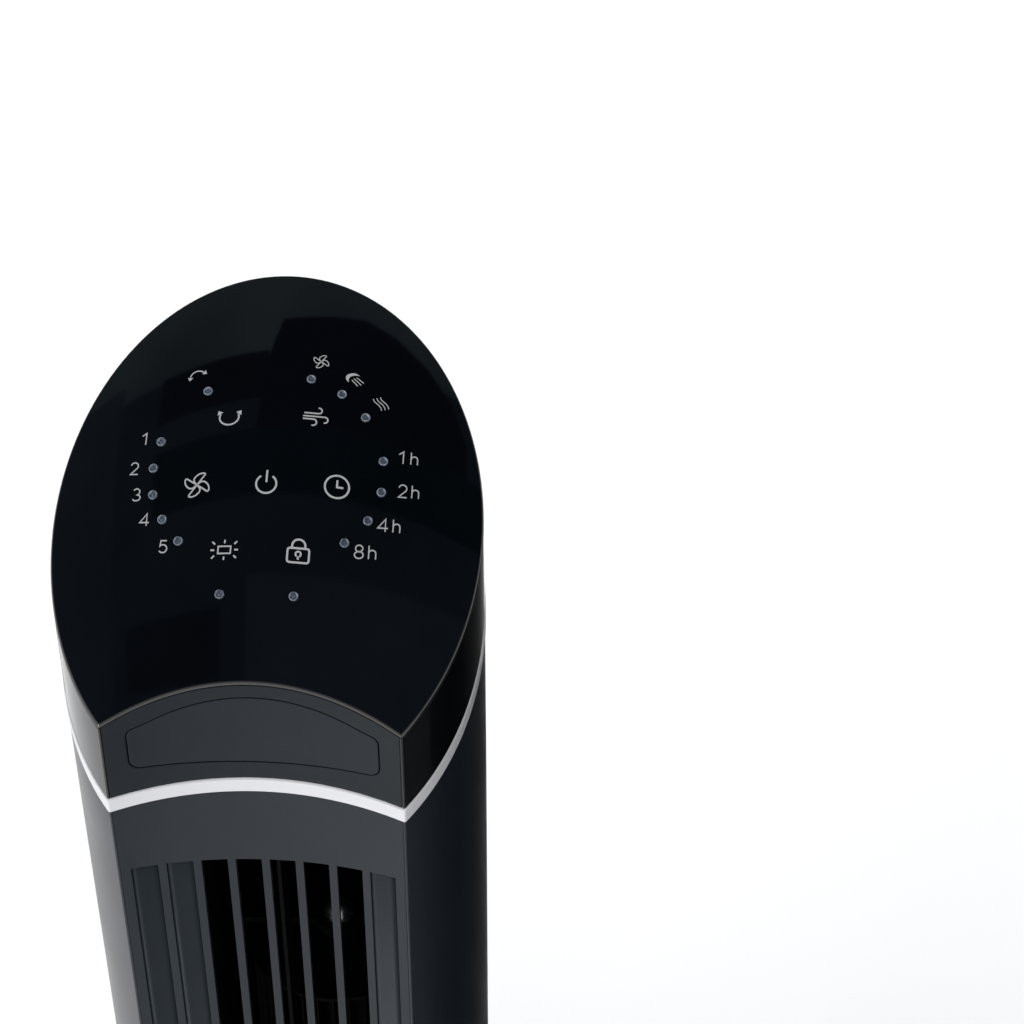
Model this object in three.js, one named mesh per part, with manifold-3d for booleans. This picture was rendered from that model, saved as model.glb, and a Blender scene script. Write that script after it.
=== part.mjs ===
// Tower fan: tall oval column with a hollow-curved front, a tilted glossy control head,
// a cross-flow wheel behind the front slots, and a round base the column swings on.
// Units mm, +Z up, front faces -Y, origin on the floor under the middle of the base.
import * as THREE from 'three';
import Module from 'manifold-3d';
import { mergeVertices } from 'three/addons/utils/BufferGeometryUtils.js';

const wasm = await Module();
wasm.setup();
const { Manifold, Mesh: MMesh } = wasm;

// ---------------------------------------------------------------- driving sizes
const A = 85, B = 97;                 // column semi-axes, across and front to back
const CX = 58;                        // front corners at x = +-CX
const CY = -B * Math.sqrt(1 - (CX / A) ** 2);
const FY = CY + 9.6;                  // middle of the hollow front
const FR = (CX * CX + 9.6 * 9.6) / (2 * 9.6);   // radius of the hollow front
const FC = FY - FR;                   // its centre in y
const WALL = 2.5, PLATE = 3, GAP = 0.35;
const CROWN = 1008, RX = 208.4, RY = 277.2, YTOP = 166.8;   // glossy top dome
const TILT = 0.524;                   // slope of the trim band, rise per mm to the rear
const BAND_TOP = 860, BAND_H = 6;     // at the front corners
const TAPER = 0.0000612;              // narrowing per mm below the band
const COL_Z0 = 36, CUP_Z1 = 52;
const SLOT_W = 10.35, SLOT_P = 13.7, SLOT_TOP = 821.5, SLOT_BOT = 112;
const WX = 20.4, WY = -8, WR = 40;      // cross-flow wheel axis and radius
const W_Z0 = 127, W_Z1 = 727;         // wheel bottom and top
const DUCT_Z0 = 121, DUCT_Z1 = 825;   // height of the air path
const BASE_R = 150;
const GEAR_M = 1.25, SUN_T = 48, PIN_T = 16, GEAR_D = 40.35;   // swing gears
const PIN_A = Math.PI;                // the pinion sits to the left of the post

// ---------------------------------------------------------------- helpers
const toM = (g0) => {
  const g = g0.clone(); g.deleteAttribute('normal'); g.deleteAttribute('uv');
  const m = mergeVertices(g, 1e-4);
  const out = new Manifold(new MMesh({ numProp: 3, vertProperties: new Float32Array(m.attributes.position.array), triVerts: new Uint32Array(m.index.array) }));
  return out;
};
const toG = (m) => {
  const r = m.getMesh();
  const g = new THREE.BufferGeometry();
  const v = [];
  for (let i = 0; i < r.numVert; i++) v.push(r.vertProperties[i * r.numProp], r.vertProperties[i * r.numProp + 1], r.vertProperties[i * r.numProp + 2]);
  g.setAttribute('position', new THREE.Float32BufferAttribute(v, 3));
  g.setIndex(new THREE.BufferAttribute(new Uint32Array(r.triVerts), 1));
  const flat = g.toNonIndexed(); flat.computeVertexNormals();
  return flat;
};
const prism = (pts, z0, z1) => {
  const s = new THREE.Shape(pts.map((p) => new THREE.Vector2(p[0], p[1])));
  return toM(new THREE.ExtrudeGeometry(s, { depth: z1 - z0, bevelEnabled: false }).translate(0, 0, z0));
};
const box = (x0, x1, y0, y1, z0, z1) => toM(new THREE.BoxGeometry(x1 - x0, y1 - y0, z1 - z0).translate((x0 + x1) / 2, (y0 + y1) / 2, (z0 + z1) / 2));
const cyl = (r, z0, z1, x = 0, y = 0, n = 24) => toM(new THREE.CylinderGeometry(r, r, z1 - z0, n).rotateX(Math.PI / 2).translate(x, y, (z0 + z1) / 2));
const lathe = (pts, n = 48, x = 0, y = 0) => {
  const a = pts.map((p) => new THREE.Vector2(p[0], p[1]));
  if (a[0].x > 1e-6 || a[a.length - 1].x > 1e-6) a.push(a[0].clone());
  const m = toM(new THREE.LatheGeometry(a, n).rotateX(Math.PI / 2).translate(x, y, 0));
  return m.volume() < 0 ? toM(new THREE.LatheGeometry(a.reverse(), n).rotateX(Math.PI / 2).translate(x, y, 0)) : m;
};
const sum = (...m) => Manifold.union(m.flat());
const cut = (a, ...m) => Manifold.difference([a, ...m.flat()]);
const both = (...m) => Manifold.intersection(m.flat());

// plan outline of the column, moved inward by d
const outline = (d = 0, n = 40) => {
  const pts = [];
  const hit = (x, y) => Math.hypot(x, y - FC) < FR + d;
  const off = (t) => {
    const nx = Math.cos(t) / A, ny = Math.sin(t) / B, l = Math.hypot(nx, ny);
    return [A * Math.cos(t) - d * nx / l, B * Math.sin(t) - d * ny / l];
  };
  let lo = -Math.PI / 2 + 0.2, hi = 0;
  for (let i = 0; i < 50; i++) { const m = (lo + hi) / 2, p = off(m); if (hit(p[0], p[1])) lo = m; else hi = m; }
  const t0 = hi, t1 = Math.PI - hi;
  for (let i = 0; i <= n; i++) pts.push(off(t0 + (t1 - t0) * i / n));
  const c = pts[0], k = 12;
  const a0 = Math.atan2(pts[n][1] - FC, pts[n][0]), a1 = Math.atan2(c[1] - FC, c[0]);
  for (let i = 1; i < k; i++) { const a = a0 + (a1 - a0) * i / k; pts.push([(FR + d) * Math.cos(a), FC + (FR + d) * Math.sin(a)]); }
  return pts;
};
// thin curved plate that follows the hollow front between depths d0 and d1
const frontPlate = (half, d0, d1, z0, z1, n = 12) => {
  const pts = [];
  const at = (x, d) => [x, FC + Math.sqrt((FR + d) ** 2 - x * x)];
  for (let i = 0; i <= n; i++) pts.push(at(-half + 2 * half * i / n, d0));
  for (let i = n; i >= 0; i--) pts.push(at(-half + 2 * half * i / n, d1));
  return prism(pts, z0, z1);
};
// half-space under (or over) the tilted plane z = h + TILT * (y - CY)
const wedge = (h, over, top = 1100) => {
  const y0 = -200, y1 = 200, z = (y) => h + TILT * (y - CY);
  const s = over ? [[y0, z(y0)], [y1, z(y1)], [y1, top], [y0, top]] : [[y0, 0], [y1, 0], [y1, z(y1)], [y0, z(y0)]];
  const g = new THREE.ExtrudeGeometry(new THREE.Shape(s.map((p) => new THREE.Vector2(p[0], p[1]))), { depth: 400, bevelEnabled: false });
  g.applyMatrix4(new THREE.Matrix4().set(0, 0, 1, -200, 1, 0, 0, 0, 0, 1, 0, 0, 0, 0, 0, 1));
  return toM(g);
};
// solid under the dome surface lowered by d
const domeZ = (x, y) => CROWN - x * x / (2 * RX) - (y - YTOP) ** 2 / (2 * RY);
const underDome = (d, n = 10) => {
  const g = new THREE.BoxGeometry(200, 220, 300, n, n + 2, 1);
  g.translate(0, 10, 850);
  const p = g.attributes.position;
  for (let i = 0; i < p.count; i++) if (p.getZ(i) > 900) p.setZ(i, domeZ(p.getX(i), p.getY(i)) - d);
  return toM(g);
};
const taper = (m) => m.warp((v) => { const s = v[2] < BAND_TOP ? 1 - TAPER * (BAND_TOP - v[2]) : 1; v[0] *= s; v[1] *= s; });
const sweep = (path, r, n = 16, seg = 8) => {
  const c = []; for (let i = 0; i < seg; i++) c.push(new THREE.Vector2(r * Math.cos(2 * Math.PI * i / seg), r * Math.sin(2 * Math.PI * i / seg)));
  return toM(new THREE.ExtrudeGeometry(new THREE.Shape(c), { steps: n, bevelEnabled: false, extrudePath: new THREE.CatmullRomCurve3(path.map((p) => new THREE.Vector3(...p)), false, 'catmullrom', 0.4) }));
};
// curved sheet of thickness t along a plan polyline
const sheet = (line, t, z0, z1) => {
  const c = new THREE.CatmullRomCurve3(line.map((p) => new THREE.Vector3(p[0], p[1], 0)));
  const P = c.getPoints(line.length * 2), left = [], right = [];
  P.forEach((p, i) => {
    const a = P[Math.max(0, i - 1)], b = P[Math.min(P.length - 1, i + 1)], dx = b.x - a.x, dy = b.y - a.y, l = Math.hypot(dx, dy);
    left.push([p.x - dy / l * t / 2, p.y + dx / l * t / 2]); right.push([p.x + dy / l * t / 2, p.y - dx / l * t / 2]);
  });
  return prism([...left, ...right.reverse()], z0, z1);
};
const gear = (teeth, phase, z0, z1, bore) => {
  const rp = GEAR_M * teeth / 2, rr = rp - 1.3 * GEAR_M, rt = rp + 0.85 * GEAR_M, p = 2 * Math.PI / teeth, pts = [];
  for (let i = 0; i < teeth; i++) {
    const a = phase + i * p;
    for (const [r, f] of [[rr, -0.34], [rt, -0.12], [rt, 0.12], [rr, 0.34]]) pts.push([r * Math.cos(a + f * p), r * Math.sin(a + f * p)]);
  }
  const g = prism(pts, z0, z1);
  return bore ? cut(g, cyl(bore, z0 - 1, z1 + 1, 0, 0, 48)) : g;
};

const root = new THREE.Group();
root.name = 'tower_fan';
const MAT = {
  satin: [0x15191e, 0.42, 0], matte: [0x3b4045, 0.62, 0], gloss: [0x04060a, 0.08, 0], trim: [0xdcdee2, 0.28, 0.1],
  inlay: [0x353a42, 0.4, 0], steel: [0xb9bcc0, 0.3, 0.9], zinc: [0x8b8f94, 0.45, 0.8], rubber: [0x141414, 0.9, 0],
  grey: [0x6d7074, 0.6, 0], pcb: [0x1d5a35, 0.5, 0], lens: [0x8f9bb0, 0.2, 0], iron: [0x2c2d2f, 0.7, 0.4], wheel: [0x1b1d20, 0.5, 0], copper: [0xb06f3a, 0.4, 0.8],
};
const add = (name, solid, mat) => {
  const [c, roughness, metalness] = MAT[mat];
  const m = new THREE.Mesh(toG(solid), new THREE.MeshStandardMaterial({ color: c, roughness, metalness }));
  m.name = name;
  root.add(m);
};

// ---------------------------------------------------------------- base (fixed)
const coverIn = [[46, 22.8], [95, 21.2], [128, 16.8], [143.5, 10.5], [147.4, 4.2]];
const coverOut = [[149.9, 3.9], [149.2, 8.0], [145.5, 13.2], [129, 19.6], [95, 24], [46, 25.6]];
add('base_cover', cut(lathe([...coverIn, ...coverOut], 64), cyl(4.35, -20, 10, 0, 0, 16).rotate([-90, 0, 0]).translate([0, 142, 11])), 'satin');
const screwXY = [0, 1, 2].map((i) => { const a = Math.PI / 2 + i * 2 * Math.PI / 3; return [90 * Math.cos(a), 90 * Math.sin(a)]; });
const footXY = [0, 1, 2, 3, 4].map((i) => { const a = -Math.PI / 2 + i * 2 * Math.PI / 5; return [128 * Math.cos(a), 128 * Math.sin(a)]; });
const screwAt = (x, y, z, h, up) => sum(cyl(3.4, up ? z : z - 1.8, up ? z + 1.8 : z, x, y, 12), cyl(1.5, up ? z - h : z, up ? z : z + h, x, y, 8));
add('base_plate', cut(lathe([[0, 4.2], [145.3, 4.2], [145.3, 6.6], [0, 6.6]], 48), footXY.map(([x, y]) => cyl(6.3, 3, 5.6, x, y, 16)), screwXY.map(([x, y]) => cyl(1.85, 3, 8, x, y, 12))), 'grey');
add('base_weight', cut(lathe([[66, 7], [122, 7], [122, 11.5], [66, 11.5]], 40), screwXY.map(([x, y]) => cyl(1.85, 6, 12, x, y, 12))), 'iron');
const postTube = lathe([[19, 7], [60, 7], [60, 9.6], [24, 9.6], [24, 33], [19, 33]], 48);
add('pivot_post', cut(postTube, cyl(2.6, 14, 30, 0, 0, 12).rotate([-90, 0, 0]).translate([0, 0, 12.3])), 'zinc');
add('fixed_gear', gear(SUN_T, PIN_A + Math.PI / SUN_T, 14.8, 19.7, 24.35), 'grey');
add('cord_gland', cut(cyl(4, 130, 148.6, 0, 0, 16), cyl(2.6, 120, 150, 0, 0, 12)).rotate([-90, 0, 0]).translate([0, 0, 11]), 'rubber');
add('inner_lead', sweep([[0, 128.5, 11.3], [2, 122, 14], [6, 108, 14.3], [8, 80, 14.3], [5, 64, 14], [1, 48, 12.6], [0, 36, 12.3], [0, 22, 12.3], [0, 10, 12.8]], 2.1, 20), 'rubber');
footXY.forEach(([x, y], i) => add('foot_' + (i + 1), lathe([[0, 0], [5.4, 0], [5.9, 0.8], [5.9, 5.3], [0, 5.3]], 16, x, y), 'rubber'));
screwXY.forEach(([x, y], i) => add('base_screw_' + (i + 1), screwAt(x, y, 3.9, 5.4, false), 'steel'));

// ---------------------------------------------------------------- swing gear and column foot
const pinX = GEAR_D * Math.cos(PIN_A), pinY = GEAR_D * Math.sin(PIN_A);
add('turntable', cut(lathe([[24.1, 20], [30, 20], [30, 29.5], [44.6, 29.5], [44.6, 34.3], [24.1, 34.3]], 48), cyl(2.9, 20, 40, pinX, pinY, 12)), 'grey');
add('swing_pinion', sum(gear(PIN_T, 0, 15.1, 19.4).translate([pinX, pinY, 0]), cyl(2, 16, 38.6, pinX, pinY, 12)), 'zinc');
const cupOuter = taper(prism(outline(0), COL_Z0 - 1, CUP_Z1));
const cupInner = taper(prism(outline(WALL), COL_Z0 + 2.6, CUP_Z1 + 5));
add('column_cup', cut(cupOuter, cupInner, cyl(18, 30, 45, 0, 0, 32), cyl(2.9, 30, 45, pinX, pinY, 12)), 'satin');
add('swing_motor', sum(cyl(24, 39, 57, -38, 4, 28), box(-66, -10, -4, 12, 39, 41)), 'zinc');

// ---------------------------------------------------------------- column shells
const bodyTop = (d = 0) => wedge(BAND_TOP - BAND_H - 0.5 - d, false);
const colRing = cut(prism(outline(0), CUP_Z1 + GAP, 990), prism(outline(WALL), 40, 1000), box(-56.2, 56.2, -90, -40, 40, 1000));
const intake = [];
for (let r = 0; r < 3; r++) for (let i = -5; i <= 5; i++) {
  const t = Math.PI / 2 - i * 0.118, z0 = 118 + r * 218;
  intake.push(box(-3.6, 3.6, 60, 110, z0, z0 + 204).rotate([0, 0, (t - Math.PI / 2) * 180 / Math.PI]));
}
const HZ = 800;                                   // grip recess, middle height
const gripHole = box(-42, 42, 70, 120, HZ - 17, HZ + 17);
const rearY = (x, d) => B * Math.sqrt(1 - (x / A) ** 2) - d;
const rearScrews = [[-24, 88], [24, 88], [-24, 858], [24, 858]];
const rearBore = ([x, z], r, y0, y1) => cyl(r, y0, y1, 0, 0, 10).rotate([-90, 0, 0]).translate([x, 0, z]);
add('rear_housing', taper(cut(both(colRing, bodyTop()), intake, gripHole, ...rearScrews.map((s) => [rearBore(s, 1.9, 50, 110), rearBore(s, 3.7, rearY(s[0], 1.25), 110)]))), 'satin');
rearScrews.forEach((s, i) => {
  const k = 1 - TAPER * (BAND_TOP - s[1]), y = rearY(s[0], 0) * k - 0.85;
  add('rear_screw_' + (i + 1), sum(cyl(3.2, y, y + 1.8, 0, 0, 12), cyl(1.4, y - 11, y + 0.1, 0, 0, 8)).rotate([-90, 0, 0]).translate([s[0] * k, 0, s[1]]), 'steel');
});
const gripBack = 62;
add('grip_cup', taper(cut(sum(both(cut(box(-41.6, 41.6, gripBack, 120, HZ - 16.6, HZ + 16.6), box(-39.6, 39.6, gripBack + 2, 130, HZ - 14.6, HZ + 14.6)), prism(outline(0), 700, 900)),
  both(box(-46, 46, gripBack, 120, HZ - 21, HZ + 21), cut(prism(outline(WALL + GAP), 700, 900), prism(outline(WALL + GAP + 1.8), 700, 900)))), box(-39.6, 39.6, gripBack + 2, 130, HZ - 14.6, HZ + 14.6))), 'satin');
const plate = frontPlate(55.7, 0, PLATE, CUP_Z1 + GAP, 900);
const slots = [];
for (let i = 1; i <= 8; i++) {
  const x = (i - 4.5) * SLOT_P, open = i >= 3 && i <= 7;
  slots.push(open ? box(x - SLOT_W / 2, x + SLOT_W / 2, -90, -40, SLOT_BOT, SLOT_TOP)
    : both(box(x - SLOT_W / 2, x + SLOT_W / 2, -90, -40, SLOT_BOT, SLOT_TOP), frontPlate(57, -5, 1.3, 60, 880)));
}
add('front_grille', taper(cut(both(plate, bodyTop()), slots)), 'matte');

// ---------------------------------------------------------------- air path
const inner = outline(WALL + 3.2);
const level = (z0, z1) => both(taper(prism(inner, z0, z1)), box(-100, 100, FY + PLATE + 2, 100, z0, z1));
add('duct_floor', cut(level(118, 120.5), cyl(7, 110, 130, WX, WY, 24)), 'satin');
add('duct_roof', level(DUCT_Z1 + 0.5, DUCT_Z1 + 3), 'satin');
add('duct_tongue', sheet([[-28.4, FY + 5], [-27.4, -42], [-25.6, -28], [-25.8, -14]], 2, DUCT_Z0, DUCT_Z1), 'satin');
add('duct_scroll', sheet([[42.5, FY + 6], [55, -40], [66, -12], [70, 10], [64, 32], [50, 49]], 2, DUCT_Z0, DUCT_Z1), 'satin');
add('air_vane', sheet([[4.2, FY + 4.6], [4.7, -53], [5.4, -49.3]], 1.6, DUCT_Z0, DUCT_Z1), 'satin');

// dust screen behind the intake slots
add('intake_screen', taper(both(cut(prism(outline(WALL + 1.2), 113, 770), prism(outline(WALL + 2.2), 100, 780)), box(-66, 66, 55, 100, 113, 770))), 'satin');

// cross-flow wheel
const blades = [];
for (let i = 0; i < 20; i++) {
  const a = i * Math.PI / 10, pts = [];
  const at = (r, da) => [WX + r * Math.cos(a + da), WY + r * Math.sin(a + da)];
  pts.push(at(30.5, 0), at(35.2, 0.085), at(39.4, 0.03), at(39.2, 0.055), at(34.8, 0.112), at(30.3, 0.028));
  blades.push(prism(pts, W_Z0 + 0.4, W_Z1 - 0.4));
}
const disc = (z, h, r0) => lathe([[r0, z], [WR, z], [WR, z + h], [r0, z + h]], 28, WX, WY);
add('wheel', sum(blades, disc(W_Z0, 2, 4.1), disc(327, 1.6, 29), disc(527, 1.6, 29), disc(W_Z1 - 2, 2, 4.1)), 'wheel');
add('wheel_shaft', cyl(4, 108, 738, WX, WY, 20), 'steel');
add('wheel_hub', cut(lathe([[4.1, W_Z0 + 2.3], [11, W_Z0 + 2.3], [11, W_Z0 + 14], [4.1, W_Z0 + 14]], 20, WX, WY)), 'zinc');
add('bearing_cap', lathe([[4.3, 732], [6.6, 732], [6.6, 739], [6, 742.4], [4.4, 744.8], [2.2, 746.1], [0, 746.5], [0, 740], [4.3, 740]], 20, WX, WY), 'steel');
add('bearing_seat', cut(sum(cyl(11, 734, 738.5, WX, WY, 24), box(-24.2, 64.2, WY - 4, WY + 2, 735, 738)), cyl(6.9, 730, 745, WX, WY, 20)), 'grey');

// drive
add('fan_motor', sum(lathe([[4.6, 62], [30, 62], [36, 68], [36, 98], [30, 104], [4.6, 104]], 28, WX, WY)), 'zinc');
add('motor_bracket', cut(level(105, 107.5), cyl(8, 100, 110, WX, WY, 20), box(-80, -50, -100, 100, 100, 110)), 'grey');

// ---------------------------------------------------------------- trim band
const bandRing = cut(prism(outline(-0.35), 700, 1000), prism(outline(2.2), 690, 1010));
add('trim_band', both(bandRing, wedge(BAND_TOP - BAND_H, true), wedge(BAND_TOP, false)), 'trim');

// ---------------------------------------------------------------- head
const headLow = wedge(BAND_TOP + 0.6, true);
const headRing = cut(prism(outline(0), 700, 1010), prism(outline(WALL), 690, 1020), box(-56.2, 56.2, -90, -40, 690, 1020));
const capTop = underDome(PLATE + 0.35);
add('head_side', both(headRing, headLow, capTop), 'gloss');
const winTop = (x, m) => 906.4 - 14.8 * (x / 48.5) ** 2 + m;
const windowShape = (m) => {
  const h = 48.4 + m, z0 = 874.3 - m, pts = [[-h + 3, z0], [h - 3, z0], [h, z0 + 3], [h, winTop(46, m) - 2.6]];
  for (let i = 5; i >= -5; i--) pts.push([i * 9.0, winTop(i * 9.0, m)]);
  pts.push([-h, winTop(46, m) - 2.6], [-h, z0 + 3]);
  const g = new THREE.ExtrudeGeometry(new THREE.Shape(pts.map((p) => new THREE.Vector2(p[0], p[1]))), { depth: 60, bevelEnabled: false });
  return toM(g.rotateX(Math.PI / 2).translate(0, -30, 0));
};
const headPlate = both(frontPlate(55.7, 0, PLATE, 700, 1010), headLow, underDome(0.45));
add('head_front', cut(headPlate, both(windowShape(0.4), frontPlate(57, -6, 2.0, 700, 1010))), 'matte');
add('display_window', both(windowShape(0), frontPlate(57, 0, 1.6, 700, 1010)), 'inlay');
const DN = new THREE.Vector3(0, -0.538, 1).normalize(), LEAN = Math.atan(0.538);
const webZ = (y) => 914 + 0.538 * (y - FY) - 13;
const leds = [[-26.9, 41.5], [-43.6, 22.6], [-45.5, 12.6], [-44.5, 2.5], [-39.7, -7], [-32.4, -15.2], [-14.3, -33.9], [14.3, -33.9],
  [14, 46.7], [26.7, 41.6], [36.7, 33.4], [44.9, 17.5], [45, 5.8], [40.6, -5.3], [32.3, -14.3]];
const pin = (x, y, r, up, n) => {
  const P = new THREE.Vector3(x, y, domeZ(x, y)), web = webZ(y), h = (P.z - web) * DN.z;
  return cyl(r, -h - 0.5, up, 0, 0, n).rotate([LEAN * 180 / Math.PI, 0, 0]).translate([P.x, P.y, P.z]);
};
const panel = both(cut(underDome(0), underDome(PLATE)), cut(prism(outline(0), 850, 1010), frontPlate(62, -8, 0.35 + PLATE, 840, 1020)));
add('top_panel', cut(panel, leds.map(([x, y]) => pin(x, y, 2.1, 8, 10))), 'gloss');
const tilted = (x0, x1, y0, y1, h, t) => box(x0, x1, (y0 - 5) / DN.z, (y1 - 5) / DN.z, -t, 0).rotate([LEAN * 180 / Math.PI, 0, 0]).translate([0, 5, webZ(5) + h]);
add('light_guide', sum(tilted(-50, 50, -36, 62, 0, 1.6), leds.map(([x, y]) => pin(x, y, 1.75, 0.25, 8))), 'lens');
add('touch_board', tilted(-54, 54, -40, 58, -4.2, 1.6), 'pcb');
add('display_board', box(-44, 44, -54.5, -53, 876, 902), 'pcb');
add('control_board', box(-40, 44, -14, 44, 834, 835.6), 'pcb');
add('capacitor', lathe([[0, 836], [9, 836], [9, 864], [0, 864]], 20, 20, 20), 'copper');

export default root;
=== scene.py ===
# Visual model of the tower fan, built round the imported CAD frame. Lengths below are in mm
# and become metres when a mesh is made. The front faces -Y.
import math

import bmesh
import bpy
from mathutils import Matrix, Vector


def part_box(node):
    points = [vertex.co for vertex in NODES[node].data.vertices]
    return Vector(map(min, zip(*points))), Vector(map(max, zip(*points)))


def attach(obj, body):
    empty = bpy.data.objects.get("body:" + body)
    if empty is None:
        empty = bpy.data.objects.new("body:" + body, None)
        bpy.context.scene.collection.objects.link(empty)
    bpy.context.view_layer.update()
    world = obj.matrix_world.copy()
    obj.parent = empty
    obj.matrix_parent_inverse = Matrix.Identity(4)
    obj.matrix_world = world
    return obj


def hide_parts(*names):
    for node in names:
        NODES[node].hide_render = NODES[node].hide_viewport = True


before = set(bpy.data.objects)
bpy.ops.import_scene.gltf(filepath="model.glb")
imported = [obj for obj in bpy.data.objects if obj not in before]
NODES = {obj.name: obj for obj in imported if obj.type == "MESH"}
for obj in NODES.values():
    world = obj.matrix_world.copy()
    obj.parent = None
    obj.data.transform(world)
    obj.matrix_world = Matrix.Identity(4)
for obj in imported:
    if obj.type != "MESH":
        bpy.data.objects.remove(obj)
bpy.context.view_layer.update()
MM = 0.001

# ---------------- sizes, as in the CAD
A, B = 85.0, 97.0  # half axes of the oval plan of the column
CX = 58.0  # half width of the hollow front
CY = -B * math.sqrt(1 - (CX / A) ** 2)  # y of the front corners
SAG = 9.6  # how far the front is hollowed
FY = CY + SAG  # y of the hollow front at its middle
FR = (CX * CX + SAG * SAG) / (2 * SAG)  # radius of the hollow front
FC = FY - FR  # y of its centre
WALL, PLATE, GAP = 2.5, 3.0, 0.35  # side wall, front plates, seams
LID = 1.2  # edge of the glossy top that shows above the head
CROWN, RX, RY, YTOP = 1008.0, 208.4, 277.2, 166.8  # highest point and radii of the dome
TILT = 0.524  # slope of the trim band
BAND_TOP, BAND_H = 860.0, 6.0  # height of the band at the front corners
TAPER = 0.0000612  # the column narrows by this share per mm below the band
CUP_Z0, CUP_Z1 = 35.0, 52.0  # foot and top of the column's foot cup
SLOT_W, SLOT_P = 10.35, 13.7  # width and pitch of the grille's slots
SLOT_TOP, SLOT_BOT = 821.5, 112.0
WX, WY, WR = 20.4, -8.0, 40.0  # axis and radius of the wheel
W_Z0, W_Z1 = 127.0, 727.0  # ends of the wheel
PINION_X = -40.35  # axis of the swing pinion
LIP = 57.20  # the side wraps reach this far round the front corners
HALF = 57.11  # half width of the front plates
INNER = 1.3  # wall of the wraps at the front corners
CORNER = 0.7  # rounding of the front corners in plan
LIP_Y = -60.0  # in front of this, the wraps stay outside the lips
LIP_POINTS, FAN_POINTS = 4, 6  # points of a lip and of a corner's rounding


# ---------------- small helpers
def add(name, data):
    """Object for the data, linked to the scene."""
    o = bpy.data.objects.new(name, data)
    bpy.context.scene.collection.objects.link(o)
    return o


def new_object(name, verts, faces, smooth=True):
    """Mesh object from points in mm, with doubles merged and all normals outward."""
    me = bpy.data.meshes.new(name)
    me.from_pydata([tuple(c * MM for c in v) for v in verts], [], faces)
    bm = bmesh.new()
    bm.from_mesh(me)
    bmesh.ops.remove_doubles(bm, verts=bm.verts, dist=2e-6)
    bmesh.ops.recalc_face_normals(bm, faces=bm.faces)
    for f in bm.faces:
        f.smooth = smooth
    bm.to_mesh(me)
    bm.free()
    return add(name, me)


def finish_piece(o, mat, body, cad=(), bevel=0.0, segments=3, angle=35.0):
    """Material, rounded edges, body and the CAD nodes that the piece replaces."""
    o.data.materials.append(mat)
    if bevel:
        m = o.modifiers.new("bevel", "BEVEL")
        m.width, m.segments = bevel * MM, segments
        m.limit_method, m.angle_limit = "ANGLE", math.radians(angle)
        m.use_clamp_overlap = True
        m.harden_normals = False
        w = o.modifiers.new("normals", "WEIGHTED_NORMAL")
        w.keep_sharp = True
    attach(o, body)
    if cad:
        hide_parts(*cad)
    return o


def dome(x, y, d=0.0):
    """Height of the domed top, less d."""
    return CROWN - x * x / (2 * RX) - (y - YTOP) ** 2 / (2 * RY) - d


def tilted(y, h):
    """Height on a plane parallel to the band that passes h at the front corners."""
    return h + TILT * (y - CY)


def narrow(p):
    """The column's slight taper below the band."""
    s = 1 - TAPER * (BAND_TOP - p[2]) if p[2] < BAND_TOP else 1.0
    return (p[0] * s, p[1] * s, p[2])


def oval(t, d):
    """Point and outward normal of the oval plan moved inward by d."""
    nx, ny = math.cos(t) / A, math.sin(t) / B
    n = math.hypot(nx, ny)
    return A * math.cos(t) - d * nx / n, B * math.sin(t) - d * ny / n, nx / n, ny / n


def corner_angle(d):
    """Oval angle where the oval meets the hollow front, both moved inward by d."""
    lo, hi = -math.pi / 2 + 0.2, 0.0
    for _ in range(60):
        m = (lo + hi) / 2
        x, y = oval(m, d)[:2]
        if math.hypot(x, y - FC) < FR + d:
            lo = m
        else:
            hi = m
    return hi


def front_y(x, d=0.0):
    """The y of the hollow front at x, moved inward by d."""
    return FC + math.sqrt((FR + d) ** 2 - x * x)


def front_points(xs, d):
    """Points of the hollow front, moved inward by d."""
    return [(x, front_y(x, d)) for x in xs]


def ring(d, part="all"):
    """Plan outline moved inward by d, with rounded front corners.

    It has the same points, in the same order, for every d. Part "wrap" leaves out the
    stretch of the hollow front between the lips.
    """
    n_side, n_front = 120, 36
    base, grow = max(d, CORNER), max(0.0, CORNER - d)
    t0 = corner_angle(base)
    pts = []
    for i in range(n_side + 1):
        t = t0 + (math.pi - 2 * t0) * i / n_side
        x, y, nx, ny = oval(t, base)
        pts.append((x + nx * grow, y + ny * grow))
    cx, cy, nx0, ny0 = oval(math.pi - t0, base)
    a = math.hypot(cx, cy - FC)
    nx1, ny1 = -cx / a, -(cy - FC) / a  # outward from the hollow front
    a0, a1 = math.atan2(ny0, nx0), math.atan2(ny1, nx1)
    if a1 < a0:
        a1 += 2 * math.pi
    turns = [a0 + (a1 - a0) * k / FAN_POINTS for k in range(1, FAN_POINTS + 1)]
    left = [(cx + grow * math.cos(t), cy + grow * math.sin(t)) for t in turns]
    x_in = left[-1][0]
    lips = front_points([x_in + (-LIP - x_in) * k / LIP_POINTS for k in range(1, LIP_POINTS + 1)], d)
    right = [(-x, y) for x, y in reversed(left + lips)]
    if part == "wrap":
        return right + pts + left + lips
    front = front_points([-LIP + 2 * LIP * k / n_front for k in range(1, n_front)], d)
    return pts + left + lips + front + right


def behind_lip(x, y):
    """Keep a point of a wrap's inner side from passing the lip, near the front."""
    return (math.copysign(max(abs(x), LIP), x) if y < LIP_Y else x, y)


def band_of(a, b, n):
    """Faces between two closed loops of n points that start at a and at b."""
    return [(a + i, a + (i + 1) % n, b + (i + 1) % n, b + i) for i in range(n)]


def tip_of(a, c, n):
    """Faces from a closed loop of n points that starts at a to the single point c."""
    return [(a + i, a + (i + 1) % n, c) for i in range(n)]


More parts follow.
